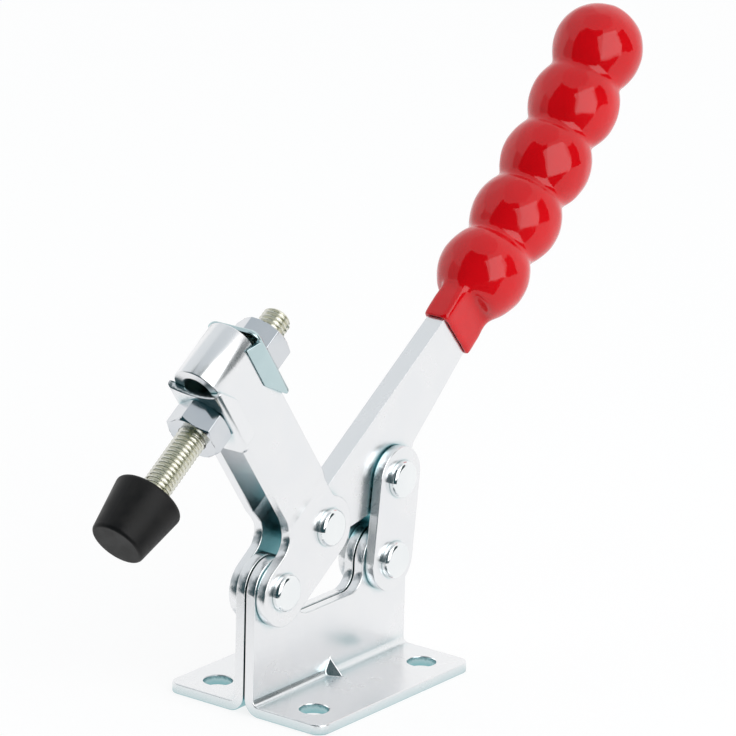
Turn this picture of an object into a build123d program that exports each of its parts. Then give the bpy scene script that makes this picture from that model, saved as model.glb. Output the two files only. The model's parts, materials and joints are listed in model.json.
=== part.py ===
"""Horizontal-handle toggle clamp with a flanged base, a U-bar arm and a rubber-tipped spindle.

Millimetres.  X points forward, from the handle to the spindle, Y to the left and Z up.  The origin
lies on the underside of the base, at the centre of its four holes.  The clamp stands half open: the
arm is raised by ARM_ANGLE, and the linkage is closed from its own lengths.
"""
from build123d import *
from math import atan2, cos, degrees, hypot, radians, sin, sqrt
import os

# Base: two pressed angle plates, back to back
SHEET = 2.8                     # sheet of the base plates, the arm and the links
PLATE_GAP = 0.5                 # left between the backs of the two base plates
BASE_LENGTH = 64.8
FLANGE_REACH = 25.4             # from the middle plane to the flange's outer edge
FLANGE_ROUNDING = 3.3
BEND_RADIUS = 1.6               # inside of the flange bend
HOLE_SPACING_X = 46.2
HOLE_SPACING_Y = 31.8
HOLE_DIAMETER = 7.8
SADDLE_HEIGHT = 22.5            # floor of the cut between the two ears
SADDLE_RADIUS = 5.0
SADDLE_FIT = 0.95               # largest share of an ear's straight side that the radius takes
GUSSET_HEIGHT = 4.7             # V pressed into the middle of the bend
GUSSET_WIDTH = 5.2

# Linkage
FRONT_EAR_RADIUS = 8.8          # round the arm pivot, out to the base's front end
REAR_EAR_RADIUS = 9.6           # round the link pivot, out to the base's rear end
ARM_PIVOT_Z = 32.4
LINK_PIVOT_Z = 29.1
ARM_ANGLE = 54.8                # arm above horizontal
CRANK = 22.5                    # arm pivot to handle pivot
LINK_LENGTH = 22.0
LEVER_SETBACK = 27.0            # link pin behind the handle pivot, along the handle
LEVER_DROP = 15.2               # link pin below the handle pivot
RUNNING = 0.05                  # clearance of a running fit, on each side

# Pivots
RIVET_SHANK = 6.0
PIN_SHANK = 5.0                 # thinner shank of the link pin
HEAD_DIAMETER = 10.0
HEAD_HEIGHT = 2.0
HEAD_ROUNDING = 1.2
BUSH_WALL = 1.0
SPACER_THICKNESS = 0.3
SPACER_DIAMETER = 12.2
PIN_SPACER_DIAMETER = 15.8

# Arm
EAR_RADIUS = 8.8
EAR_SETBACK = 0.8               # ear's centre line behind the pivots
LEG_BOTTOM = 10.6               # the arm's legs, above the arm pivot
LEG_TOP = 28.6
ELBOW = 12.5                    # where the legs start to spread
SPREAD_LENGTH = 4.0
SLOT_WIDTH = 8.2
NOSE = 73.1                     # front of the arm, from the arm pivot
NOSE_DROP = 1.2                 # the legs' upper edge is lower round the nose
NOSE_DROP_START = 56.0
NOSE_DROP_END = 61.0
ELBOW_RADIUS = 6.0
SHOULDER_RADIUS = 4.0
SPREAD_RADIUS = 2.5

# Links
LINK_HALF_WIDTH = 8.6

# Handle
LEVER_HALF_WIDTH = 6.4          # around the handle pivot
PIN_BOSS_RADIUS = 8.0
PIN_HOLE_RADIUS = 6.1           # clearance hole that the link pin moves about in
PIN_HOLE_BACK = 1.2             # centre of that hole, behind and below the pin
PIN_HOLE_DOWN = 0.5
LEVER_TOP = 0.4                 # blade at the mouth of the grip, from the handle pivot
LEVER_BOTTOM = -14.2
LEVER_ROOT_BOTTOM = -16.4       # blade's lower edge above the link pin
LEVER_ROOT_RADIUS = 5.0
GRIP_MOUTH = 67.8               # behind the handle pivot
GRIP_AXIS = -7.0                # below the handle pivot
GRIP_STRAIGHT = 95.0            # where the grip starts to curve up
GRIP_CURVE = 260.0
GRIP_CURVE_ANGLE = 30.0
LOBE_PITCH = 18.5
LOBE_COUNT = 5
LOBE_RADIUS = 12.4
LAST_LOBE_SETBACK = 1.2         # the last lobe lies closer to its neighbour
LOBE_ARC = 14.5                 # radius of each lobe's side
LOBE_LAP = 1.0
NECK_ROUNDING = 2.0
SLEEVE_LENGTH = 12.0
SLEEVE_WALL = 1.3
SLEEVE_ROUNDING = 1.2
MOUTH_ROUNDING = 0.6
TANG_START = 77.0               # behind the handle pivot, where the lever narrows
TANG_HALF_WIDTH = 5.0
TANG_END = 158.0

# Spindle group
SPINDLE_PLACE = 57.3            # along the arm
SPINDLE_DIAMETER = 7.9
SPINDLE_TOP = 44.1              # above the arm pivot, across the arm
SPINDLE_CHAMFER = 0.9
SPINDLE_GRIP = 11.0             # depth held in the rubber tip
TIP_BOTTOM = -33.6
TIP_HEIGHT = 15.6
TIP_TOP_DIAMETER = 19.0
TIP_FACE_DIAMETER = 14.6
TIP_ROUNDING = 1.0
NUT_FLATS = 13.8
NUT_HEIGHT = 6.8
NUT_CHAMFER = 0.6
UPPER_NUT_TURN = -3.0
LOWER_NUT_TURN = 0.5
WASHER_THICKNESS = 1.8
WING_THICKNESS = 1.4            # at the bend, thinning to WING_EDGE
WING_EDGE = 0.4
WASHER_FRONT = 12.4
WASHER_BACK = 10.4
WASHER_WING = 4.2               # how far the wings reach over the arm's sides
WING_FRONT = 10.6
WASHER_ROUNDING = 3.0
WASHER_SCALLOP_DEPTH = 1.8
WASHER_BEND = 1.4
WASHER_PLAY = 0.2               # around the spindle
WING_BACK = 2.9

os.makedirs("parts", exist_ok=True)

# Layers across the clamp, as distances from the middle plane
plate_back = PLATE_GAP / 2
plate_face = plate_back + SHEET
ear_inside = plate_face + RUNNING
ear_outside = ear_inside + SHEET
head_seat = ear_outside + RUNNING
leg_inside = SLOT_WIDTH / 2
leg_outside = leg_inside + SHEET


def crossing(first, first_reach, second, second_reach):
    """Upper point that lies at the two given distances from two points."""
    dx, dz = second[0] - first[0], second[1] - first[1]
    span = hypot(dx, dz)
    along = (first_reach**2 - second_reach**2 + span**2) / (2 * span)
    across = sqrt(first_reach**2 - along**2)
    x, z = first[0] + dx * along / span, first[1] + dz * along / span
    return max(((x - dz * across / span, z + dx * across / span),
                (x + dz * across / span, z - dx * across / span)), key=lambda point: point[1])


def side_plane(point, angle):
    """Plane of the clamp's side view, at a pivot, with x turned up by an angle and normal -Y."""
    turn = radians(angle)
    return Plane(origin=(point[0], 0, point[1]), x_dir=(cos(turn), 0, sin(turn)), z_dir=(0, -1, 0))


# Pivots, in the side view
arm_pivot = (BASE_LENGTH / 2 - FRONT_EAR_RADIUS, ARM_PIVOT_Z)
link_pivot = (REAR_EAR_RADIUS - BASE_LENGTH / 2, LINK_PIVOT_Z)
handle_pivot = (arm_pivot[0] - CRANK * sin(radians(ARM_ANGLE)),
                ARM_PIVOT_Z + CRANK * cos(radians(ARM_ANGLE)))
link_pin = crossing(handle_pivot, hypot(LEVER_SETBACK, LEVER_DROP), link_pivot, LINK_LENGTH)
pin_bearing = degrees(atan2(link_pin[1] - handle_pivot[1], link_pin[0] - handle_pivot[0]))
lever_angle = pin_bearing - degrees(atan2(-LEVER_DROP, -LEVER_SETBACK))
link_angle = degrees(atan2(link_pin[1] - link_pivot[1], link_pin[0] - link_pivot[0]))

arm_side = side_plane(arm_pivot, ARM_ANGLE)
lever_side = side_plane(handle_pivot, lever_angle)
link_side = side_plane(link_pivot, link_angle)

# ---------------------------------------------------------------- base plates
web_top = max(ARM_PIVOT_Z + FRONT_EAR_RADIUS, LINK_PIVOT_Z + REAR_EAR_RADIUS) + 1
saddle_radius = min(SADDLE_RADIUS, SADDLE_FIT * (min(ARM_PIVOT_Z, LINK_PIVOT_Z) - SADDLE_HEIGHT))
bush_bore = RIVET_SHANK / 2 + RUNNING
bush_radius = bush_bore + BUSH_WALL
gusset_depth = GUSSET_HEIGHT / sqrt(2)

with BuildPart() as base_plate_left:
    gusset_plane = Plane(origin=(0, plate_face, SHEET), x_dir=(1, 0, 0), z_dir=(0, -1, 1))
    with BuildSketch(gusset_plane):
        Polygon((-GUSSET_WIDTH / 2, 0), (GUSSET_WIDTH / 2, 0), (0, gusset_depth), align=None)
    extrude(amount=gusset_depth, both=True)
    with Locations((0, plate_back + SHEET / 2, SHEET / 2)):
        Box(GUSSET_WIDTH, 2 * GUSSET_HEIGHT, 2 * GUSSET_HEIGHT,
            align=(Align.CENTER, Align.MIN, Align.MIN), mode=Mode.INTERSECT)
    with BuildSketch(Plane.YZ.offset(-BASE_LENGTH / 2)) as angle_section:
        with BuildLine():
            Polyline((plate_back, 0), (FLANGE_REACH, 0), (FLANGE_REACH, SHEET),
                     (plate_face, SHEET), (plate_face, web_top), (plate_back, web_top), close=True)
        make_face()
        fillet(angle_section.vertices().sort_by_distance((plate_back, 0))[0], BEND_RADIUS + SHEET)
        fillet(angle_section.vertices().sort_by_distance((plate_face, SHEET))[0], BEND_RADIUS)
    extrude(amount=BASE_LENGTH)
    with BuildSketch(Plane.XZ) as web_outline:
        Rectangle(BASE_LENGTH, SADDLE_HEIGHT, align=(Align.CENTER, Align.MIN))
        for (x, z), radius in ((arm_pivot, FRONT_EAR_RADIUS), (link_pivot, REAR_EAR_RADIUS)):
            with Locations((x, z)):
                Circle(radius)
                Rectangle(2 * radius, z, align=(Align.CENTER, Align.MAX))
        fillet(web_outline.vertices()
               .filter_by_position(Axis.Y, SADDLE_HEIGHT - 0.01, SADDLE_HEIGHT + 0.01)
               .filter_by_position(Axis.X, link_pivot[0], arm_pivot[0]), saddle_radius)
    extrude(amount=FLANGE_REACH + 1, both=True, mode=Mode.INTERSECT)
    fillet(base_plate_left.edges().filter_by(Axis.Z).group_by(Axis.Y)[-1], FLANGE_ROUNDING)
    with Locations((0, HOLE_SPACING_Y / 2, SHEET)):
        with GridLocations(HOLE_SPACING_X, 0, 2, 1):
            Hole(HOLE_DIAMETER / 2)
    with BuildSketch(Plane.XZ):
        with Locations(arm_pivot, link_pivot):
            Circle(bush_radius + RUNNING)
    extrude(amount=FLANGE_REACH, both=True, mode=Mode.SUBTRACT)
base_plate_left.part.label = "base_plate_left"
export_step(base_plate_left.part, "parts/base_plate_left.step")

with BuildPart() as base_plate_right:
    mirror(base_plate_left.part, about=Plane.XZ)
base_plate_right.part.label = "base_plate_right"
export_step(base_plate_right.part, "parts/base_plate_right.step")

# ---------------------------------------------------------------- clamping arm
nose_centre = NOSE - leg_outside
leg_middle = (leg_inside + leg_outside) / 2
ear_middle = (ear_inside + ear_outside) / 2
ear_back = EAR_RADIUS + EAR_SETBACK + 1
rivet_hole = RIVET_SHANK / 2 + RUNNING

arm_foot = Plane(origin=arm_side.from_local_coords(Vector(0, -EAR_RADIUS - 1, 0)),
                 x_dir=arm_side.x_dir, z_dir=arm_side.y_dir)

with BuildPart() as clamping_arm:
    with BuildSketch(arm_foot):
        with BuildLine() as fold:
            for side in (1, -1):
                with BuildLine() as leg:
                    Polyline((-ear_back, side * ear_middle), (ELBOW, side * ear_middle),
                             (ELBOW + SPREAD_LENGTH, side * leg_middle),
                             (nose_centre, side * leg_middle))
                    fillet(leg.vertices().filter_by_position(
                        Axis.X, ELBOW - 1, ELBOW + SPREAD_LENGTH + 1), SPREAD_RADIUS)
            CenterArc((nose_centre, 0), leg_middle, -90, 180)
        trace(line_width=SHEET)
    extrude(amount=CRANK + 2 * EAR_RADIUS + 2)
    with BuildSketch(arm_side) as arm_outline:
        with Locations((-EAR_SETBACK, CRANK / 2)):
            SlotCenterToCenter(CRANK, 2 * EAR_RADIUS, rotation=90)
        Polygon((0, LEG_BOTTOM), (NOSE + 1, LEG_BOTTOM), (NOSE + 1, LEG_TOP - NOSE_DROP),
                (NOSE_DROP_END, LEG_TOP - NOSE_DROP), (NOSE_DROP_START, LEG_TOP), (0, LEG_TOP),
                align=None)
        elbow = (EAR_RADIUS - EAR_SETBACK, LEG_BOTTOM)
        fillet(arm_outline.vertices().sort_by_distance(elbow)[0], ELBOW_RADIUS)
        fillet(arm_outline.vertices().filter_by_position(Axis.X, 0, EAR_RADIUS)
               .sort_by(Axis.Y)[-1], SHOULDER_RADIUS)
    extrude(amount=leg_outside + 1, both=True, mode=Mode.INTERSECT)
    with BuildSketch(arm_side):
        with Locations((0, 0), (0, CRANK)):
            Circle(rivet_hole)
    extrude(amount=leg_outside + 1, both=True, mode=Mode.SUBTRACT)
clamping_arm.part.label = "clamping_arm"
export_step(clamping_arm.part, "parts/clamping_arm.step")

# ---------------------------------------------------------------- links
for name, side in (("link_plate_left", 1), ("link_plate_right", -1)):
    with BuildPart() as link_plate:
        with BuildSketch(link_side.offset(-side * ear_middle)):
            with Locations((LINK_LENGTH / 2, 0)):
                SlotCenterToCenter(LINK_LENGTH, 2 * LINK_HALF_WIDTH)
            with Locations((0, 0), (LINK_LENGTH, 0)):
                Circle(rivet_hole, mode=Mode.SUBTRACT)
        extrude(amount=SHEET / 2, both=True)
    link_plate.part.label = name
    export_step(link_plate.part, f"parts/{name}.step")

# ---------------------------------------------------------------- handle lever
lever_half = ear_inside - SPACER_THICKNESS - RUNNING
lever_span = hypot(LEVER_SETBACK, LEVER_DROP)
lever_slant = degrees(atan2(LEVER_DROP, LEVER_SETBACK))
pin_hole = (-LEVER_SETBACK - PIN_HOLE_BACK, -LEVER_DROP - PIN_HOLE_DOWN)

with BuildLine(lever_side) as grip_line:
    Line((-GRIP_MOUTH, GRIP_AXIS), (-GRIP_STRAIGHT, GRIP_AXIS))
    JernArc((-GRIP_STRAIGHT, GRIP_AXIS), (-1, 0), GRIP_CURVE, -GRIP_CURVE_ANGLE)
grip_path = grip_line.wires()[0]


def grip_station(distance):
    """Side plane at a distance behind the grip's mouth, with x along the grip, to its end."""
    return Plane(origin=grip_path.position_at(distance, position_mode=PositionMode.LENGTH),
                 x_dir=grip_path.tangent_at(distance, position_mode=PositionMode.LENGTH),
                 z_dir=(0, -1, 0))


with BuildPart() as handle_lever:
    with BuildSketch(lever_side) as blade:
        Circle(LEVER_HALF_WIDTH)
        with Locations(Location((-LEVER_SETBACK / 2, -LEVER_DROP / 2), lever_slant)):
            Rectangle(lever_span, 2 * LEVER_HALF_WIDTH)
        with BuildLine():
            Polyline((0, LEVER_HALF_WIDTH), (-GRIP_MOUTH, LEVER_TOP), (-TANG_START, LEVER_TOP),
                     (-TANG_START, LEVER_BOTTOM), (-GRIP_MOUTH, LEVER_BOTTOM),
                     (-LEVER_SETBACK, LEVER_ROOT_BOTTOM), close=True)
        make_face()
        with Locations(pin_hole):
            Circle(PIN_BOSS_RADIUS)
        boss_root = (blade.vertices().filter_by_position(Axis.X, -GRIP_MOUTH + 1, pin_hole[0])
                     .sort_by(Axis.Y)[0])
        fillet(boss_root, LEVER_ROOT_RADIUS)
    extrude(amount=lever_half, both=True)
    with BuildSketch(lever_side):
        with BuildLine():
            Line((-TANG_START + 1, GRIP_AXIS), (-GRIP_STRAIGHT, GRIP_AXIS))
            JernArc((-GRIP_STRAIGHT, GRIP_AXIS), (-1, 0), GRIP_CURVE,
                    -degrees((TANG_END - GRIP_STRAIGHT) / GRIP_CURVE))
        trace(line_width=2 * TANG_HALF_WIDTH)
    extrude(amount=lever_half, both=True)
    with BuildSketch(lever_side):
        Circle(bush_radius + RUNNING)
        with Locations(pin_hole):
            Circle(PIN_HOLE_RADIUS)
    extrude(amount=lever_half + 1, both=True, mode=Mode.SUBTRACT)
handle_lever.part.label = "handle_lever"
export_step(handle_lever.part, "parts/handle_lever.step")

# ---------------------------------------------------------------- grip
lobe_half = LOBE_PITCH / 2 + LOBE_LAP
lobe_neck = LOBE_RADIUS - LOBE_ARC + sqrt(LOBE_ARC**2 - lobe_half**2)
sleeve_plane = Plane(origin=grip_path.position_at(0), x_dir=(0, 1, 0),
                     z_dir=grip_path.tangent_at(0))

with BuildPart() as handle_grip:
    with BuildSketch(sleeve_plane):
        RectangleRounded(2 * (lever_half + SLEEVE_WALL), LEVER_TOP - LEVER_BOTTOM + 2 * SLEEVE_WALL,
                         SLEEVE_ROUNDING)
    extrude(amount=SLEEVE_LENGTH + LOBE_PITCH / 2)
    for lobe in range(LOBE_COUNT):
        rounded_end = lobe == LOBE_COUNT - 1
        setback = LAST_LOBE_SETBACK if rounded_end else 0
        station = grip_station(SLEEVE_LENGTH + (lobe + 0.5) * LOBE_PITCH - setback)
        with BuildSketch(station):
            with BuildLine():
                RadiusArc((-lobe_half, lobe_neck), (0, LOBE_RADIUS), LOBE_ARC)
                if rounded_end:
                    far = RadiusArc((0, LOBE_RADIUS), (LOBE_RADIUS, 0), LOBE_RADIUS)
                else:
                    far = RadiusArc((0, LOBE_RADIUS), (lobe_half, lobe_neck), LOBE_ARC)
                Polyline(far @ 1, ((far @ 1).X, 0), (-lobe_half, 0), (-lobe_half, lobe_neck))
            make_face()
        revolve(axis=Axis(station.origin, station.x_dir))
    necks = handle_grip.edges().filter_by(GeomType.BSPLINE).filter_by(lambda edge: edge.is_closed)
    fillet(necks, NECK_ROUNDING)
    fillet(handle_grip.faces().sort_by_distance(sleeve_plane.origin)[0].outer_wire().edges(),
           MOUTH_ROUNDING)
    add(handle_lever.part, mode=Mode.SUBTRACT)
handle_grip.part.label = "handle_grip"
export_step(handle_grip.part, "parts/handle_grip.step")

# ---------------------------------------------------------------- pivots
rivets = (("arm_pivot_rivet", arm_pivot, RIVET_SHANK), ("handle_pivot_rivet", handle_pivot, RIVET_SHANK),
          ("link_base_rivet", link_pivot, RIVET_SHANK), ("link_handle_rivet", link_pin, PIN_SHANK))

for name, pivot, shank in rivets:
    with BuildPart() as rivet:
        with BuildSketch(Plane.XZ):
            with Locations(pivot):
                Circle(shank / 2)
        extrude(amount=head_seat + HEAD_HEIGHT / 2, both=True)
        for side in (1, -1):
            with BuildSketch(Plane.XZ.offset(side * head_seat)):
                with Locations(pivot):
                    Circle(HEAD_DIAMETER / 2)
            extrude(amount=side * HEAD_HEIGHT)
        fillet(rivet.faces().filter_by(Axis.Y).sort_by(Axis.Y)[0].edges(), HEAD_ROUNDING)
        fillet(rivet.faces().filter_by(Axis.Y).sort_by(Axis.Y)[-1].edges(), HEAD_ROUNDING)
    rivet.part.label = name
    export_step(rivet.part, f"parts/{name}.step")

bushes = (("arm_pivot_bush", arm_pivot, plate_face), ("link_base_bush", link_pivot, plate_face),
          ("handle_pivot_bush", handle_pivot, lever_half))

for name, pivot, half_length in bushes:
    with BuildPart() as bush:
        with BuildSketch(Plane.XZ):
            with Locations(pivot):
                Circle(bush_radius)
                Circle(bush_bore, mode=Mode.SUBTRACT)
        extrude(amount=half_length, both=True)
    bush.part.label = name
    export_step(bush.part, f"parts/{name}.step")

spacers = (("handle_pivot_spacer", handle_pivot, RIVET_SHANK, SPACER_DIAMETER),
           ("link_pin_spacer", link_pin, PIN_SHANK, PIN_SPACER_DIAMETER))

for name, pivot, shank, diameter in spacers:
    for side, side_name in ((1, "left"), (-1, "right")):
        with BuildPart() as spacer:
            with BuildSketch(Plane.XZ.offset(-side * ear_inside)):
                with Locations(pivot):
                    Circle(diameter / 2)
                    Circle(shank / 2 + RUNNING, mode=Mode.SUBTRACT)
            extrude(amount=side * SPACER_THICKNESS)
        spacer.part.label = f"{name}_{side_name}"
        export_step(spacer.part, f"parts/{name}_{side_name}.step")

# ---------------------------------------------------------------- spindle group
spindle_plane = Plane(origin=arm_side.from_local_coords(Vector(SPINDLE_PLACE, 0, 0)),
                      x_dir=arm_side.x_dir, z_dir=arm_side.y_dir)
spindle_foot = TIP_BOTTOM + TIP_HEIGHT - SPINDLE_GRIP

with BuildPart() as spindle:
    with BuildSketch(spindle_plane.offset(spindle_foot)):
        Circle(SPINDLE_DIAMETER / 2)
    extrude(amount=SPINDLE_TOP - spindle_foot)
    chamfer(spindle.edges().sort_by(Axis(spindle_plane.origin, spindle_plane.z_dir))[-1],
            SPINDLE_CHAMFER)
spindle.part.label = "spindle"
export_step(spindle.part, "parts/spindle.step")

with BuildPart() as rubber_tip:
    with BuildSketch(Plane(origin=spindle_plane.origin, x_dir=arm_side.x_dir, z_dir=(0, -1, 0))):
        with BuildLine():
            Polyline((0, TIP_BOTTOM), (TIP_FACE_DIAMETER / 2, TIP_BOTTOM),
                     (TIP_TOP_DIAMETER / 2, TIP_BOTTOM + TIP_HEIGHT), (0, TIP_BOTTOM + TIP_HEIGHT),
                     close=True)
        make_face()
    revolve(axis=Axis(spindle_plane.origin, spindle_plane.z_dir))
    fillet(rubber_tip.edges().filter_by(GeomType.CIRCLE), TIP_ROUNDING)
    with BuildSketch(spindle_plane.offset(spindle_foot)):
        Circle(SPINDLE_DIAMETER / 2)
    extrude(amount=TIP_HEIGHT, mode=Mode.SUBTRACT)
rubber_tip.part.label = "rubber_tip"
export_step(rubber_tip.part, "parts/rubber_tip.step")

# Seats on the arm's edges: z points away from the arm, x away from the washer's scalloped end
seats = (("upper", spindle_plane.offset(LEG_TOP + RUNNING), UPPER_NUT_TURN),
         ("lower", Plane(origin=spindle_plane.offset(LEG_BOTTOM - RUNNING).origin,
                         x_dir=-spindle_plane.x_dir, z_dir=-spindle_plane.z_dir), LOWER_NUT_TURN))
wing_inside = leg_outside + RUNNING
wing_outside = wing_inside + WING_THICKNESS
wing_edge = wing_inside + WING_EDGE
scallop_radius = (wing_outside**2 + WASHER_SCALLOP_DEPTH**2) / (2 * WASHER_SCALLOP_DEPTH)
nut_corner = NUT_FLATS / sqrt(3)

for name, seat, turn in seats:
    seat_side = Plane(origin=seat.origin, x_dir=seat.x_dir, z_dir=-seat.y_dir)
    with BuildPart() as washer:
        with BuildSketch(Plane(origin=seat.origin, x_dir=seat.y_dir, z_dir=seat.x_dir)):
            for side in (1, -1):
                Polygon((side * wing_inside, 0), (side * wing_outside, 0),
                        (side * wing_edge, -WASHER_WING), (side * wing_inside, -WASHER_WING),
                        align=None)
        extrude(amount=WASHER_FRONT + WASHER_BACK, both=True)
        with BuildSketch(seat_side):
            Polygon((-WASHER_BACK, 0), (-WING_BACK, -WASHER_WING), (WING_FRONT, -WASHER_WING),
                    (WASHER_FRONT - WASHER_ROUNDING, 0), align=None)
        extrude(amount=wing_outside, both=True, mode=Mode.INTERSECT)
        with BuildSketch(seat) as outline:
            with Locations(((WASHER_FRONT - WASHER_BACK) / 2, 0)):
                Rectangle(WASHER_FRONT + WASHER_BACK, 2 * wing_outside)
            fillet(outline.vertices().group_by(Axis.X)[-1], WASHER_ROUNDING)
            with Locations((WASHER_SCALLOP_DEPTH - WASHER_BACK - scallop_radius, 0)):
                Circle(scallop_radius, mode=Mode.SUBTRACT)
        extrude(amount=WASHER_THICKNESS)
        top = washer.faces().sort_by(Axis(seat.origin, seat.z_dir))[-1]
        fillet(top.edges().filter_by(Axis(seat.origin, seat.x_dir)).filter_by(GeomType.LINE),
               WASHER_BEND)
        with BuildSketch(seat):
            Circle(SPINDLE_DIAMETER / 2 + WASHER_PLAY)
        extrude(amount=WASHER_THICKNESS, mode=Mode.SUBTRACT)
    washer.part.label = f"{name}_flanged_washer"
    export_step(washer.part, f"parts/{name}_flanged_washer.step")

    with BuildPart() as nut:
        with BuildSketch(seat.offset(WASHER_THICKNESS)):
            Circle(nut_corner)
        extrude(amount=NUT_HEIGHT)
        for end in nut.faces().filter_by(GeomType.PLANE):
            chamfer(end.edges(), length=NUT_CHAMFER, length2=nut_corner - NUT_FLATS / 2)
        with BuildSketch(seat.offset(WASHER_THICKNESS)):
            RegularPolygon(NUT_FLATS / 2, 6, major_radius=False, rotation=turn)
            Circle(SPINDLE_DIAMETER / 2 + RUNNING, mode=Mode.SUBTRACT)
        extrude(amount=NUT_HEIGHT, mode=Mode.INTERSECT)
    nut.part.label = f"{name}_nut"
    export_step(nut.part, f"parts/{name}_nut.step")
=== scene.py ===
"""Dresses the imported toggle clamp: camera, finishes, screw thread, dipped grip, studio and lamps."""
import json
import math

import bmesh
import bpy
from mathutils import Matrix, Vector, noise

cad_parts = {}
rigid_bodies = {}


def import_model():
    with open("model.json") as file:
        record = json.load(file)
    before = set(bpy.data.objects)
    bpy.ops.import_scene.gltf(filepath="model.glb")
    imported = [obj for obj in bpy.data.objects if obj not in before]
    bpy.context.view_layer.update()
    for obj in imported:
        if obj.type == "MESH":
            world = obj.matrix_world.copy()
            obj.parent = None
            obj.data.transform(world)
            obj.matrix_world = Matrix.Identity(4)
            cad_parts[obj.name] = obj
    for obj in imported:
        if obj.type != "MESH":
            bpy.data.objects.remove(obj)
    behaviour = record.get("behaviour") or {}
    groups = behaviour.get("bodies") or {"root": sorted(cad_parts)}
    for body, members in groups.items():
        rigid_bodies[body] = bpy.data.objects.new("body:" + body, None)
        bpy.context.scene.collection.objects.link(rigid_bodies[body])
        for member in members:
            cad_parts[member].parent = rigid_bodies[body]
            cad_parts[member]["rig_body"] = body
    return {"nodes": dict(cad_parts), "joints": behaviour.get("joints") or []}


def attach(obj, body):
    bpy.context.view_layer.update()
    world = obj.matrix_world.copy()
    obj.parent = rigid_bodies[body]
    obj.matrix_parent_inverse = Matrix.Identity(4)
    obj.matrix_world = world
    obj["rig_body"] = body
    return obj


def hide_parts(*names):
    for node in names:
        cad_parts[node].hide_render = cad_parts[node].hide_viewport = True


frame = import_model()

MM = 0.001
nodes = frame["nodes"]
joints = {joint["name"]: joint for joint in frame["joints"]}
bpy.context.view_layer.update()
scene = bpy.context.scene
scene.view_settings.view_transform = "Standard"


# ---------------------------------------------------------------- camera, fitted to the photograph
CAMERA_AZIMUTH = math.radians(127.45)
CAMERA_ELEVATION = math.radians(18.9)
CAMERA_ROLL = math.radians(1.29)
CAMERA_DISTANCE = 1.35                    # metres from the target
CAMERA_TARGET = Vector((0, 0, 0.0461))
PHOTO_SIDE = 736                          # pixels
TARGET_PIXEL = (323.9, 514.6)             # where the target shows in the photograph
FOCAL_PIXELS = 5184
SENSOR_WIDTH = 36


def make_camera():
    """Links the camera and returns the direction from its target to it."""
    level, rise = math.cos(CAMERA_ELEVATION), math.sin(CAMERA_ELEVATION)
    back = Vector((math.sin(CAMERA_AZIMUTH) * level, -math.cos(CAMERA_AZIMUTH) * level, rise))
    right = Vector((math.cos(CAMERA_AZIMUTH), math.sin(CAMERA_AZIMUTH), 0))
    up = back.cross(right)
    rolled_right = right * math.cos(CAMERA_ROLL) + up * math.sin(CAMERA_ROLL)
    rolled_up = up * math.cos(CAMERA_ROLL) - right * math.sin(CAMERA_ROLL)
    axes = Matrix((rolled_right, rolled_up, back)).transposed()
    middle = PHOTO_SIDE / 2
    sight = Vector((TARGET_PIXEL[0] - middle, middle - TARGET_PIXEL[1], -FOCAL_PIXELS))
    aim = sight.normalized().rotation_difference(Vector((0, 0, -1))).to_matrix()
    data = bpy.data.cameras.new("camera")
    data.sensor_width = SENSOR_WIDTH
    data.lens = FOCAL_PIXELS * SENSOR_WIDTH / PHOTO_SIDE
    data.clip_start, data.clip_end = 0.05, 50
    camera = bpy.data.objects.new("camera", data)
    place = Matrix.Translation(CAMERA_TARGET + back * CAMERA_DISTANCE)
    camera.matrix_world = place @ (axes @ aim).to_4x4()
    scene.collection.objects.link(camera)
    scene.camera = camera
    return back


view_back = make_camera()


# ---------------------------------------------------------------- shader helpers
def new_material(name):
    material = bpy.data.materials.new(name)
    material.use_nodes = True
    tree = material.node_tree
    return material, tree, tree.nodes["Principled BSDF"]


def add(tree, kind, inputs=None, **settings):
    """A new node with its sockets' values and its settings."""
    node = tree.nodes.new(kind)
    for key, value in settings.items():
        setattr(node, key, value)
    for key, value in (inputs or {}).items():
        node.inputs[key].default_value = value
    return node


def clouds(tree, scale, detail, roughness=0.5):
    """Noise that stays with the piece."""
    place = add(tree, "ShaderNodeTexCoord")
    texture = add(tree, "ShaderNodeTexNoise", {"Scale": scale, "Detail": detail, "Roughness": roughness})
    tree.links.new(place.outputs["Object"], texture.inputs["Vector"])
    return texture.outputs["Fac"]


def ramp(tree, source, low, low_colour, high, high_colour):
    """From one colour to another as the source goes from low to high."""
    node = add(tree, "ShaderNodeValToRGB")
    for stop, position, colour in zip(node.color_ramp.elements, (low, high), (low_colour, high_colour)):
        stop.position, stop.color = position, (*colour, 1)
    tree.links.new(source, node.inputs["Fac"])
    return node.outputs["Color"]


def remap(tree, source, low, high, to_low, to_high):
    """From one number to another as the source goes from low to high."""
    node = add(tree, "ShaderNodeMapRange",
               {"From Min": low, "From Max": high, "To Min": to_low, "To Max": to_high})
    tree.links.new(source, node.inputs["Value"])
    return node.outputs["Result"]


def bump(tree, height, strength, depth, under=None):
    node = add(tree, "ShaderNodeBump", {"Strength": strength, "Distance": depth})
    tree.links.new(height, node.inputs["Height"])
    if under is not None:
        tree.links.new(under, node.inputs["Normal"])
    return node.outputs["Normal"]


def blend(tree, share, first, second, output="Material Output"):
    """Shows a mix of two shaders: the second one's share is a number or a socket."""
    mix = add(tree, "ShaderNodeMixShader")
    if isinstance(share, float):
        mix.inputs["Fac"].default_value = share
    else:
        tree.links.new(share, mix.inputs["Fac"])
    tree.links.new(first.outputs[0], mix.inputs[1])
    tree.links.new(second.outputs[0], mix.inputs[2])
    tree.links.new(mix.outputs[0], tree.nodes[output].inputs["Surface"])


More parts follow.
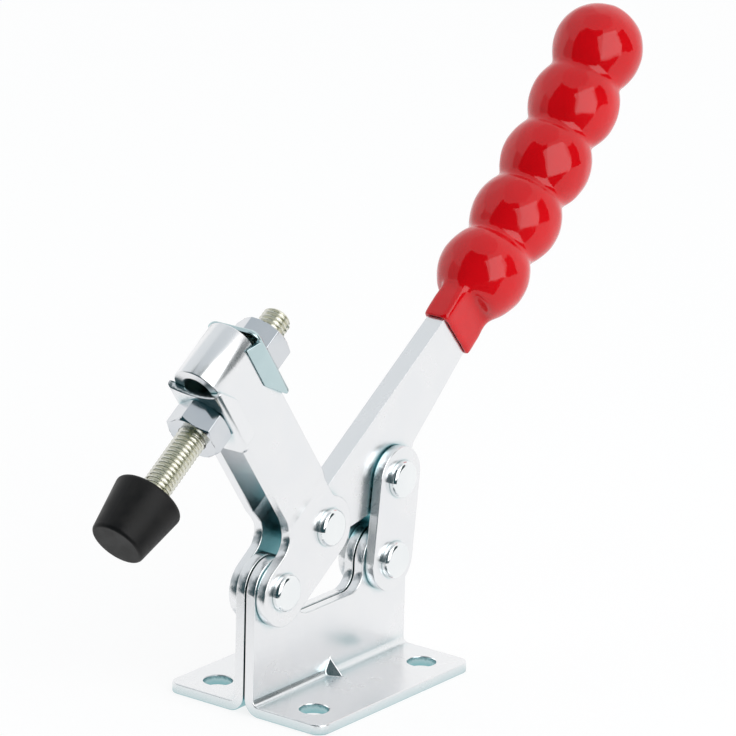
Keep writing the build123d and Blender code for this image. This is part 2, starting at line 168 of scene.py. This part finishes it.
def seen_by(tree, *rays):
    """1 for the given kinds of ray, and 0 for the others."""
    path = add(tree, "ShaderNodeLightPath")
    seen = path.outputs[f"Is {rays[0]} Ray"]
    for ray in rays[1:]:
        either = add(tree, "ShaderNodeMath", operation="MAXIMUM")
        tree.links.new(seen, either.inputs[0])
        tree.links.new(path.outputs[f"Is {ray} Ray"], either.inputs[1])
        seen = either.outputs[0]
    return seen


# ---------------------------------------------------------------- materials
SHEET_CLOUDS, THREAD_CLOUDS = 90, 260     # noise scales, per metre
RIPPLE_SCALE, RIPPLE_DEPTH = 150, 0.6 * MM
GRAIN_SCALE, GRAIN_DEPTH = 2600, 0.2 * MM
# painted shade: the teal put into the sheet zinc's colour in crevices, and how far the occlusion looks
PAINTED_CREVICE_SHADE = (0.27, 0.50, 0.53)
PAINTED_SHADE_REACH = 9 * MM
OLIVE, OLIVE_SHARE = (0.34, 0.33, 0.13, 1), 0.32


def metal(name, colour, shade, roughness, grain, ripple, scale=SHEET_CLOUDS):
    """Plated metal: cloudy tint and roughness, a fine grain and a slow ripple of the surface."""
    material, tree, shader = new_material(name)
    shader.inputs["Metallic"].default_value = 1
    cloud = clouds(tree, scale, 5)
    fine = clouds(tree, GRAIN_SCALE, 2)
    slow = clouds(tree, RIPPLE_SCALE, 1)
    tree.links.new(ramp(tree, cloud, 0.35, shade, 0.62, colour), shader.inputs["Base Color"])
    tree.links.new(remap(tree, cloud, 0.3, 0.7, roughness - 0.03, roughness + 0.04),
                   shader.inputs["Roughness"])
    rippled = bump(tree, slow, ripple, RIPPLE_DEPTH)
    tree.links.new(bump(tree, fine, grain, GRAIN_DEPTH, rippled), shader.inputs["Normal"])
    return material


def paint_crevice_shade(material, tint, reach):
    """Paints teal shade into the plating's colour where two surfaces stand close, standing in for light
    bounced between them.
    """
    tree = material.node_tree
    base = tree.nodes["Principled BSDF"].inputs["Base Color"]
    plain = base.links[0].from_socket
    openness = add(tree, "ShaderNodeAmbientOcclusion", {"Distance": reach}, samples=8)
    mix = add(tree, "ShaderNodeMix", data_type="RGBA")
    painted_shade, open_colour, result = mix.inputs[6], mix.inputs[7], mix.outputs[2]
    painted_shade.default_value = (*tint, 1)
    tree.links.new(remap(tree, openness.outputs["AO"], 0.25, 0.76, 0.0, 1.0), mix.inputs["Factor"])
    tree.links.new(plain, open_colour)
    tree.links.new(result, base)
    return material


def yellow_zinc():
    """Yellow zinc plating: bright where it mirrors the window, olive in the shade."""
    material = metal("zinc_yellow", (0.97, 0.965, 0.93), (0.92, 0.91, 0.85), 0.16, 0.03, 0.05,
                     THREAD_CLOUDS)
    tree = material.node_tree
    olive = add(tree, "ShaderNodeBsdfDiffuse", {"Color": OLIVE})
    blend(tree, OLIVE_SHARE, tree.nodes["Principled BSDF"], olive)
    return material


def red_vinyl():
    """Glossy dipped vinyl with a slow swell."""
    material, tree, shader = new_material("red_vinyl")
    cloud = clouds(tree, 70, 3)
    tree.links.new(ramp(tree, cloud, 0.3, (0.62, 0.001, 0.004), 0.7, (0.70, 0.002, 0.006)),
                   shader.inputs["Base Color"])
    tree.links.new(remap(tree, cloud, 0.3, 0.7, 0.07, 0.11), shader.inputs["Roughness"])
    tree.links.new(bump(tree, clouds(tree, 95, 2, 0.45), 0.35, 1.2 * MM), shader.inputs["Normal"])
    shader.inputs["IOR"].default_value = 1.48
    return material


def black_rubber():
    """Moulded rubber, dull and finely pebbled."""
    material, tree, shader = new_material("black_rubber")
    cloud = clouds(tree, 260, 5)
    tree.links.new(ramp(tree, cloud, 0.3, (0.007, 0.007, 0.0075), 0.75, (0.014, 0.0135, 0.013)),
                   shader.inputs["Base Color"])
    tree.links.new(remap(tree, cloud, 0.3, 0.7, 0.36, 0.50), shader.inputs["Roughness"])
    tree.links.new(bump(tree, clouds(tree, 3200, 3), 0.25, 0.1 * MM), shader.inputs["Normal"])
    shader.inputs["Specular IOR Level"].default_value = 0.18
    return material


zinc = metal("zinc_sheet", (0.885, 0.89, 0.90), (0.855, 0.865, 0.88), 0.25, 0.03, 0.07)
# painted shade: the sheet zinc turns teal in its crevices and inside the arm
paint_crevice_shade(zinc, PAINTED_CREVICE_SHADE, PAINTED_SHADE_REACH)
bright = metal("zinc_bright", (0.90, 0.92, 0.925), (0.86, 0.885, 0.895), 0.12, 0.02, 0.05)
# painted shade and reflection: the upper washer, the same part as the lower one, gets a darker teal copy of
# the plating
upper_washer_painted_shade = metal("zinc_upper_washer_painted_shade", (0.55, 0.68, 0.70), (0.48, 0.61, 0.63), 0.20, 0.03, 0.08)
nut_zinc = metal("zinc_nut", (0.69, 0.71, 0.735), (0.62, 0.655, 0.69), 0.13, 0.02, 0.06)
yellow = yellow_zinc()
brass = metal("bush_metal", (0.62, 0.50, 0.27), (0.50, 0.40, 0.22), 0.35, 0.03, 0.05)
vinyl = red_vinyl()
rubber = black_rubber()

FINISHES = {
    "handle_grip": vinyl, "rubber_tip": rubber, "spindle": yellow,
    "arm_pivot_bush": brass, "link_base_bush": brass, "handle_pivot_bush": brass,
    "arm_pivot_rivet": bright, "handle_pivot_rivet": bright, "link_base_rivet": bright,
    "link_handle_rivet": bright, "upper_nut": nut_zinc, "lower_nut": nut_zinc,
    # the darker teal of the upper washer is painted shade
    "upper_flanged_washer": upper_washer_painted_shade,
}
for name, node in nodes.items():
    node.data.materials.clear()
    node.data.materials.append(FINISHES.get(name, zinc))


# ---------------------------------------------------------------- edges of the pressed and turned parts
WELD_DISTANCE = 0.001 * MM
FLAT_ANGLE = math.radians(0.4)            # faces that turn less are one face
SHARP_ANGLE = math.radians(38)            # edges that turn more are rounded
EDGES = {                                 # width of the rounding and its segments
    "base_plate_left": (0.3 * MM, 3), "base_plate_right": (0.3 * MM, 3),
    "clamping_arm": (0.3 * MM, 3), "link_plate_left": (0.3 * MM, 3), "link_plate_right": (0.3 * MM, 3),
    "handle_lever": (0.12 * MM, 2),
    "upper_flanged_washer": (0.2 * MM, 2), "lower_flanged_washer": (0.2 * MM, 2),
    "upper_nut": (0.18 * MM, 2), "lower_nut": (0.18 * MM, 2),
}


def round_edges(node, width, segments):
    weld = node.modifiers.new("weld", "WELD")
    weld.merge_threshold = WELD_DISTANCE
    flat = node.modifiers.new("flat", "DECIMATE")
    flat.decimate_type = "DISSOLVE"
    flat.angle_limit = FLAT_ANGLE
    bevel = node.modifiers.new("bevel", "BEVEL")
    bevel.width = width
    bevel.segments = segments
    bevel.limit_method = "ANGLE"
    bevel.angle_limit = SHARP_ANGLE
    bevel.use_clamp_overlap = False
    bevel.harden_normals = True


for name, (width, segments) in EDGES.items():
    round_edges(nodes[name], width, segments)


def own(name, mesh, material, node):
    """A piece of the scene that takes a CAD node's place and rides its body."""
    obj = bpy.data.objects.new(name, mesh)
    scene.collection.objects.link(obj)
    mesh.materials.append(material)
    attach(obj, nodes[node]["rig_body"])
    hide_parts(node)
    return obj


# ---------------------------------------------------------------- screw thread on the spindle
PITCH = 1.25 * MM
CREST_RADIUS = 3.95 * MM
ROOT_RADIUS = CREST_RADIUS - 0.6134 * PITCH
HALF_CREST, FLANK = 1 / 16, 5 / 16        # parts of the pitch, for a 60 degree thread
SPINDLE_PLACE = 57.3 * MM                 # from the arm's pivot, along the arm
LOWER_CHAMFER, UPPER_CHAMFER = 0.5 * MM, 0.95 * MM
ROWS_PER_PITCH, COLUMNS = 14, 44
MERGE_DISTANCE, RIM_TOLERANCE = 1e-7, 1e-6
THREAD_CORNERS = 8                        # a face with as many or more is an end cap


def thread_radius(phase):
    """Radius at a part of the pitch: flat crest an eighth of it wide, flat root a quarter."""
    distance = abs((phase + 0.5) % 1 - 0.5)
    depth = min(max((distance - HALF_CREST) / FLANK, 0), 1)
    return CREST_RADIUS + (ROOT_RADIUS - CREST_RADIUS) * depth


def thread_grid(low, high, foot, axis, along):
    """Points and faces of a helical grid: each row is a turn long, and a step above the last."""
    across = axis.cross(along)
    rows = int((high - low) / PITCH * ROWS_PER_PITCH) + 2 * ROWS_PER_PITCH
    points, faces = [], []
    for row in range(rows):
        for column in range(COLUMNS):
            turn = column / COLUMNS
            height = low + ((row - ROWS_PER_PITCH) / ROWS_PER_PITCH + turn) * PITCH
            height = min(max(height, low), high)
            radius = min(thread_radius(row / ROWS_PER_PITCH),
                         CREST_RADIUS - UPPER_CHAMFER + (high - height),
                         CREST_RADIUS - LOWER_CHAMFER + (height - low))
            theta = 2 * math.pi * turn
            outwards = along * math.cos(theta) + across * math.sin(theta)
            points.append(foot + axis * height + outwards * radius)
    for row in range(rows - 1):
        for column in range(COLUMNS):
            step = (row, column + 1) if column + 1 < COLUMNS else (row + ROWS_PER_PITCH, 0)
            corners = ((row, column), step, (step[0] + 1, step[1]), (row + 1, column))
            if step[0] + 1 < rows:
                faces.append([r * COLUMNS + c for r, c in corners])
    return points, faces


def make_spindle():
    """The threaded rod, as long as its plain solid."""
    along = Vector(joints["slot_slide"]["axis"])
    axis = Vector(joints["spindle_slide"]["axis"])
    foot = Vector(joints["arm_hinge"]["pos_m"]) + along * SPINDLE_PLACE
    heights = [(vertex.co - foot).dot(axis) for vertex in nodes["spindle"].data.vertices]
    low, high = min(heights), max(heights)
    points, faces = thread_grid(low, high, foot, axis, along)
    mesh = bpy.data.meshes.new("threaded_spindle")
    mesh.from_pydata(points, [], faces)
    form = bmesh.new()
    form.from_mesh(mesh)
    bmesh.ops.remove_doubles(form, verts=form.verts, dist=MERGE_DISTANCE)
    bmesh.ops.dissolve_degenerate(form, edges=form.edges, dist=MERGE_DISTANCE)
    for end in (low, high):
        rim = [edge for edge in form.edges if edge.is_boundary
               and all(abs((vertex.co - foot).dot(axis) - end) < RIM_TOLERANCE for vertex in edge.verts)]
        if rim:
            bmesh.ops.contextual_create(form, geom=rim)
    bmesh.ops.recalc_face_normals(form, faces=form.faces)
    for face in form.faces:
        face.smooth = len(face.verts) < THREAD_CORNERS
    form.to_mesh(mesh)
    form.free()
    own("threaded_spindle", mesh, yellow, "spindle")


make_spindle()


# ---------------------------------------------------------------- dipped vinyl grip
LEVER_TILT = math.radians(39.776)         # the lever's rise towards the grip
LEVER_ALONG = Vector((-math.cos(LEVER_TILT), 0, math.sin(LEVER_TILT)))
SLEEVE_END = 79.8 * MM                    # from the handle's pivot to the first lobe, along the lever
VOXEL = 0.55 * MM
SKIN_ROUNDS, ROOT_ROUNDS = 9, 45          # of smoothing
ROOT_REACH = 6.5 * MM                     # how far the sleeve's root is drawn in, to each side
SLEEVE_SOFTENING, LEAST_WEIGHT = 0.22, 0.02
SWELL = 0.16 * MM
SWELL_SCALES = ((125, 1.0), (260, 0.45))  # noise scale, per metre, and its share
FADE_START, FADE_LENGTH = 2 * MM, 6 * MM  # of the swells, from before the sleeve's end


def settle(obj, name):
    """Turns the object's modifiers into its mesh."""
    bpy.context.view_layer.update()
    graph = bpy.context.evaluated_depsgraph_get()
    made = bpy.data.meshes.new_from_object(obj.evaluated_get(graph))
    made.name = name
    obj.modifiers.clear()
    obj.vertex_groups.clear()
    obj.data = made
    if not made.materials:
        made.materials.append(vinyl)
    return made


def smooth_skin(obj, name, rounds, group=""):
    smooth = obj.modifiers.new(name, "SMOOTH")
    smooth.factor, smooth.iterations, smooth.vertex_group = 0.5, rounds, group


def past_sleeve(point):
    """How far a point lies past the sleeve's end, towards the lobes."""
    return (point - Vector(joints["handle_hinge"]["pos_m"])).dot(LEVER_ALONG) - SLEEVE_END


def make_grip():
    """The grip's solid with its necks and the root of its sleeve drawn together, as dipped vinyl sets."""
    mesh = nodes["handle_grip"].data.copy()
    mesh.name = "dipped_grip"
    mesh.materials.clear()
    grip = own("dipped_grip", mesh, vinyl, "handle_grip")
    form = bmesh.new()
    form.from_mesh(mesh)
    bmesh.ops.remove_doubles(form, verts=form.verts, dist=WELD_DISTANCE)
    form.to_mesh(mesh)
    form.free()
    remesh = grip.modifiers.new("remesh", "REMESH")
    remesh.mode = "VOXEL"
    remesh.voxel_size = VOXEL
    remesh.use_smooth_shade = True
    smooth_skin(grip, "smooth", SKIN_ROUNDS)
    draw_in_root(grip, settle(grip, "first_skin"))
    add_swells(settle(grip, "dipped_grip_skin"))


def draw_in_root(grip, skin):
    """Smooths the sleeve's root into the first lobe, and rounds the sleeve's corners a little."""
    weights = grip.vertex_groups.new(name="root")
    for vertex in skin.vertices:
        reach = past_sleeve(vertex.co)
        weight = 1 - min(abs(reach) / ROOT_REACH, 1) ** 2
        if reach < 0:
            weight = max(weight, SLEEVE_SOFTENING)
        if weight > LEAST_WEIGHT:
            weights.add([vertex.index], weight, "REPLACE")
    smooth_skin(grip, "root", ROOT_ROUNDS, "root")


def add_swells(skin):
    """Slow swells left by the dipping, fading out on the sleeve."""
    normals = [vertex.normal.copy() for vertex in skin.vertices]
    for vertex, normal in zip(skin.vertices, normals):
        swell = sum(share * noise.noise(vertex.co * scale) for scale, share in SWELL_SCALES)
        fade = min(max((past_sleeve(vertex.co) + FADE_START) / FADE_LENGTH, 0), 1)
        vertex.co += normal * swell * SWELL * fade


make_grip()


# ---------------------------------------------------------------- floor and world
FLOOR_REACH = 6
FLOOR_DROP = 0.1 * MM
FLOOR_GLOW, FLOOR_GLOW_SHARE = 1.05, 0.8  # its share for camera and mirror rays; the rest takes the shadow


def make_floor():
    reach, height = FLOOR_REACH, -FLOOR_DROP
    mesh = bpy.data.meshes.new("floor")
    mesh.from_pydata([(-reach, -reach, height), (reach, -reach, height), (reach, reach, height),
                      (-reach, reach, height)], [], [(0, 1, 2, 3)])
    floor = bpy.data.objects.new("floor", mesh)
    scene.collection.objects.link(floor)
    pale, tree, shader = new_material("floor_pale")
    shader.inputs["Base Color"].default_value = (0.9, 0.9, 0.9, 1)
    shader.inputs["Roughness"].default_value = 0.9
    shader.inputs["Specular IOR Level"].default_value = 0
    glow = add(tree, "ShaderNodeEmission", {"Color": (1, 1, 1, 1), "Strength": FLOOR_GLOW})
    share = add(tree, "ShaderNodeMath", {1: FLOOR_GLOW_SHARE}, operation="MULTIPLY")
    tree.links.new(seen_by(tree, "Camera", "Glossy"), share.inputs[0])
    blend(tree, share.outputs[0], shader, glow)
    mesh.materials.append(pale)


def make_world():
    """A bright surround that looks white, and lights the scene a little less and cooler."""
    world = bpy.data.worlds.new("studio")
    scene.world = world
    world.use_nodes = True
    tree = world.node_tree
    lit = tree.nodes["Background"]
    lit.inputs["Color"].default_value = (0.95, 0.98, 1.0, 1)
    lit.inputs["Strength"].default_value = 0.8
    white = add(tree, "ShaderNodeBackground", {"Color": (1, 1, 1, 1), "Strength": 1.0})
    blend(tree, seen_by(tree, "Camera", "Glossy", "Transmission"), lit, white, "World Output")


make_floor()
make_world()


# ---------------------------------------------------------------- studio cards and lamps
STUDIO_CENTRE = Vector((0, 0, 0.08))
STUDIO_RADIUS = 3.0
TABLE_FRONT = 0.14                        # where the white table top ends, from the middle
CARD_LIFT = Vector((0, 0, 0.3 * MM))      # of the low card above the floor
DARK_ROOM = (0.02, 0.055, 0.065)


def heading(right_of_camera, elevation):
    """Direction from the object, by degrees right of the photograph's camera and above the horizon."""
    azimuth = math.atan2(view_back.y, view_back.x) + math.radians(right_of_camera)
    elevation = math.radians(elevation)
    return Vector((math.cos(azimuth) * math.cos(elevation), math.sin(azimuth) * math.cos(elevation),
                   math.sin(elevation)))


def card(name, points, faces, colour, dims=False):
    """A studio card that only reflections see, and, where it dims, the diffuse light too."""
    mesh = bpy.data.meshes.new(name)
    mesh.from_pydata(points, [], faces)
    obj = bpy.data.objects.new(name, mesh)
    scene.collection.objects.link(obj)
    material, tree, _ = new_material(name)
    tint = add(tree, "ShaderNodeEmission", {"Color": (*colour, 1), "Strength": 1.0})
    tree.links.new(tint.outputs[0], tree.nodes["Material Output"].inputs["Surface"])
    mesh.materials.append(material)
    for ray in ("camera", "diffuse", "transmission", "volume_scatter", "shadow"):
        setattr(obj, "visible_" + ray, ray == "diffuse" and dims)


def low_card(name, left, right, near, colour):
    """A sector of the table top, by degrees right of the camera."""
    steps = 12
    sweep = [heading(left + (right - left) * step / steps, 0) for step in range(steps + 1)]
    points = [towards * near + CARD_LIFT for towards in sweep]
    points += [towards * STUDIO_RADIUS + CARD_LIFT for towards in reversed(sweep)]
    card(name, points, [list(range(len(points)))], colour)


def wall_card(name, left, right, bottom, top, colour, dims=False):
    """Part of a sphere round the object, by degrees right of the camera and above the horizon."""
    points, faces, steps = [], [], 8
    for row in range(steps + 1):
        for column in range(steps + 1):
            towards = heading(left + (right - left) * column / steps, bottom + (top - bottom) * row / steps)
            points.append(STUDIO_CENTRE + towards * STUDIO_RADIUS)
    for row in range(steps):
        for column in range(steps):
            first = row * (steps + 1) + column
            faces.append([first, first + 1, first + steps + 2, first + steps + 1])
    card(name, points, faces, colour, dims)


def area_lamp(name, right, elevation, distance, size, radiance):
    """A lamp that faces the object, by degrees right of the camera and above the horizon."""
    data = bpy.data.lights.new(name, "AREA")
    data.shape = "RECTANGLE"
    data.size, data.size_y = size
    data.energy = radiance * math.pi * size[0] * size[1]
    lamp = bpy.data.objects.new(name, data)
    lamp.location = STUDIO_CENTRE + heading(right, elevation) * distance
    lamp.rotation_mode = "QUATERNION"
    lamp.rotation_quaternion = (STUDIO_CENTRE - lamp.location).to_track_quat("-Z", "Y")
    lamp.visible_camera = False
    scene.collection.objects.link(lamp)
    return lamp


low_card("room_low", -80, 58, TABLE_FRONT, DARK_ROOM)
wall_card("room_front", -70, 11, -3, 62, DARK_ROOM, dims=True)
wall_card("room_left", -100, -70, -3, 25, (0.42, 0.46, 0.48))
wall_card("upper_left", -180, -70, 25, 62, (0.78, 0.81, 0.83))
wall_card("side_gap", 62, 95, -12, 40, (0.03, 0.05, 0.055))
wall_card("ceiling", -180, 180, 62, 90, (0.64, 0.68, 0.71))

area_lamp("window", 37, 26, 1.2, (1.3, 1.35), 1.5)
fill = area_lamp("back_left", -110, 50, 1.4, (0.8, 0.6), 0.8)
fill.visible_glossy = False
